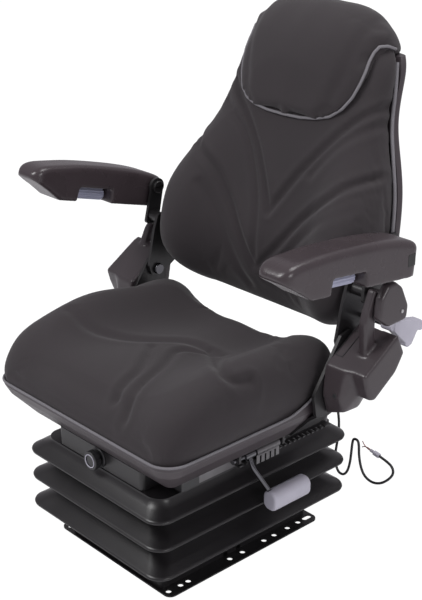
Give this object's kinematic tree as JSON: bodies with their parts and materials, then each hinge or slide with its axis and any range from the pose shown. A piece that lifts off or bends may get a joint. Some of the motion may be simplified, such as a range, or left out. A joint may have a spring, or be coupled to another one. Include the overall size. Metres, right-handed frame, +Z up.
{
  "type": "air suspension seat",
  "caption": "Cloth driver's seat with folding armrests and reclining back on a scissor air suspension inside a black rubber bellows.",
  "frame": {"origin": "centre of the base sheet's underside, on the floor the seat is bolted to, midway between the four mounting holes", "axes": "+X towards the sitter's left, +Y towards the rear, +Z up"},
  "size_m": [0.714, 0.6626, 0.9541],
  "materials": {
    "black_steel": "satin black powder coat",
    "fabric": "charcoal woven cloth over foam",
    "headrest_fabric": "charcoal woven cloth over foam",
    "rubber": "satin black moulded rubber",
    "buffer_rubber": "matt rubber",
    "pan_plastic": "grey-brown grained plastic",
    "cover_plastic": "warm grey grained plastic",
    "armrest_skin": "soft grained skin",
    "light_plastic": "light grey plastic",
    "wheel_plastic": "light blue-grey ribbed plastic",
    "black_plastic": "black plastic",
    "steel": "bare machined steel",
    "rail_steel": "zinc-plated sheet",
    "bright_rod": "bright plated rod",
    "aluminium": "cast aluminium",
    "cable_skin": "black PVC jacket",
    "wire_skin": "coloured lead insulation"
  },
  "bodies": {
    "base": {"base_frame": "black_steel", "bump_stops": "buffer_rubber", "bellows": "rubber", "air_spring_piston": "black_plastic", "air_spring_sleeve": "rubber", "base_pivot_pins": "steel", "air_pump": "aluminium"},
    "suspension_top": {"top_frame": "black_steel", "air_spring_cap": "aluminium", "top_pivot_pins": "steel", "air_valve": "black_plastic", "knob_bezel": "black_plastic", "rail_lower_left": "rail_steel", "rail_lower_right": "rail_steel", "rail_caps": "black_plastic", "lock_rack": "black_steel", "cable": "cable_skin", "cable_gland": "black_plastic", "cable_connector": "light_plastic", "cable_wires": "wire_skin"},
    "scissor_outer": {"scissor_outer_arms": "black_steel"},
    "scissor_inner": {"scissor_inner_arms": "black_steel", "centre_bolts": "steel"},
    "top_roller_left": {"roller_top_left": "black_plastic"},
    "top_roller_right": {"roller_top_right": "black_plastic"},
    "base_roller_left": {"roller_base_left": "black_plastic"},
    "base_roller_right": {"roller_base_right": "black_plastic"},
    "damper_tube": {"damper_body": "black_steel"},
    "damper_piston": {"damper_rod": "bright_rod"},
    "knob": {"height_knob": "black_plastic"},
    "seat_slide": {"rail_upper_left": "black_steel", "rail_upper_right": "black_steel", "rail_glides": "black_plastic", "lever_bracket": "black_steel", "seat_pan": "pan_plastic", "seat_cushion": "fabric", "side_plate_left": "black_steel", "side_plate_right": "black_steel", "hinge_bolts": "bright_rod", "side_cover_left": "cover_plastic", "side_cover_right": "cover_plastic"},
    "slide_handle": {"slide_lever": "bright_rod", "lever_grip": "light_plastic", "lock_pawl": "rail_steel"},
    "backrest": {"backrest_frame": "black_steel", "backrest_shell": "pan_plastic", "backrest_cushion": "fabric", "headrest_cushion": "headrest_fabric", "armrest_bracket_left": "black_steel", "armrest_bracket_right": "black_steel", "armrest_bolts": "black_steel", "ear_cover_left": "cover_plastic"},
    "recliner_handle": {"recliner_lever": "light_plastic"},
    "left_armrest": {"armrest_left": "armrest_skin"},
    "right_armrest": {"armrest_right": "armrest_skin"},
    "left_tilt_wheel": {"tilt_wheel_left": "wheel_plastic"},
    "right_tilt_wheel": {"tilt_wheel_right": "wheel_plastic"}
  },
  "joints": [
    {"name": "suspension_travel", "type": "slide", "parent": "base", "child": "suspension_top", "axis": [0, 0, 1], "range_m": [-0.065, 0], "stiffness_N_per_m": 6500, "springref_m": 0.08, "deforming": ["bellows", "air_spring_sleeve"]},
    {"name": "scissor_outer_swing", "type": "hinge", "parent": "base", "child": "scissor_outer", "pos_m": [0, 0.165, 0.028], "axis": [-1, 0, 0], "range_deg": [-12.1, 0.1]},
    {"name": "scissor_inner_swing", "type": "hinge", "parent": "suspension_top", "child": "scissor_inner", "pos_m": [0, 0.165, 0.168], "axis": [1, 0, 0], "range_deg": [-12.1, 0.1]},
    {"name": "top_roller_left_spin", "type": "hinge", "parent": "scissor_outer", "child": "top_roller_left", "pos_m": [0.128, -0.13383, 0.168], "axis": [1, 0, 0], "continuous": true},
    {"name": "top_roller_right_spin", "type": "hinge", "parent": "scissor_outer", "child": "top_roller_right", "pos_m": [-0.128, -0.13383, 0.168], "axis": [1, 0, 0], "continuous": true},
    {"name": "base_roller_left_spin", "type": "hinge", "parent": "scissor_inner", "child": "base_roller_left", "pos_m": [0.115, -0.13383, 0.028], "axis": [1, 0, 0], "continuous": true},
    {"name": "base_roller_right_spin", "type": "hinge", "parent": "scissor_inner", "child": "base_roller_right", "pos_m": [-0.115, -0.13383, 0.028], "axis": [1, 0, 0], "continuous": true},
    {"name": "damper_swing", "type": "hinge", "parent": "base", "child": "damper_tube", "pos_m": [-0.068, 0.152, 0.032], "axis": [-1, 0, 0], "range_deg": [-13.5, 0.1]},
    {"name": "damper_stroke", "type": "slide", "parent": "damper_tube", "child": "damper_piston", "axis": [0, -0.8768, 0.4809], "range_m": [-0.0247, 0.0001]},
    {"name": "height_knob_pull", "type": "slide", "parent": "suspension_top", "child": "knob", "axis": [0, -1, 0], "range_m": [-0.005, 0.005], "stiffness_N_per_m": 400},
    {"name": "fore_aft", "type": "slide", "parent": "suspension_top", "child": "seat_slide", "axis": [0, -1, 0], "range_m": [-0.058, 0.058]},
    {"name": "slide_release", "type": "hinge", "parent": "seat_slide", "child": "slide_handle", "pos_m": [0.178, 0, 0.231], "axis": [0, -1, 0], "range_deg": [0, 15], "stiffness_Nm_per_rad": 2, "springref_deg": -20.05},
    {"name": "recline", "type": "hinge", "parent": "seat_slide", "child": "backrest", "pos_m": [0, 0.135, 0.418], "axis": [-1, 0, 0], "range_deg": [-5, 30]},
    {"name": "recliner_release", "type": "hinge", "parent": "backrest", "child": "recliner_handle", "pos_m": [0.3145, 0.178, 0.458], "axis": [1, 0, 0], "range_deg": [0, 18], "stiffness_Nm_per_rad": 1, "springref_deg": -17.19},
    {"name": "left_armrest_fold", "type": "hinge", "parent": "backrest", "child": "left_armrest", "pos_m": [0.297, 0.1594, 0.6059], "axis": [-1, 0, 0], "range_deg": [0, 84]},
    {"name": "right_armrest_fold", "type": "hinge", "parent": "backrest", "child": "right_armrest", "pos_m": [-0.297, 0.1673, 0.5726], "axis": [-1, 0, 0], "range_deg": [0, 84]},
    {"name": "left_tilt_wheel_turn", "type": "hinge", "parent": "left_armrest", "child": "left_tilt_wheel", "pos_m": [0.324, 0.01554, 0.58986], "axis": [0, -0.9949, 0.1011], "continuous": true},
    {"name": "right_tilt_wheel_turn", "type": "hinge", "parent": "right_armrest", "child": "right_tilt_wheel", "pos_m": [-0.324, 0.02274, 0.58001], "axis": [0, -0.9655, 0.2605], "continuous": true}
  ],
  "couplings": [
    {"joint": "scissor_outer_swing", "follows": "suspension_travel", "rad_per_m": 3.2131},
    {"joint": "scissor_inner_swing", "follows": "suspension_travel", "rad_per_m": 3.2131},
    {"joint": "damper_swing", "follows": "suspension_travel", "rad_per_m": 3.6004},
    {"joint": "damper_stroke", "follows": "suspension_travel", "ratio": 0.3779}
  ]
}
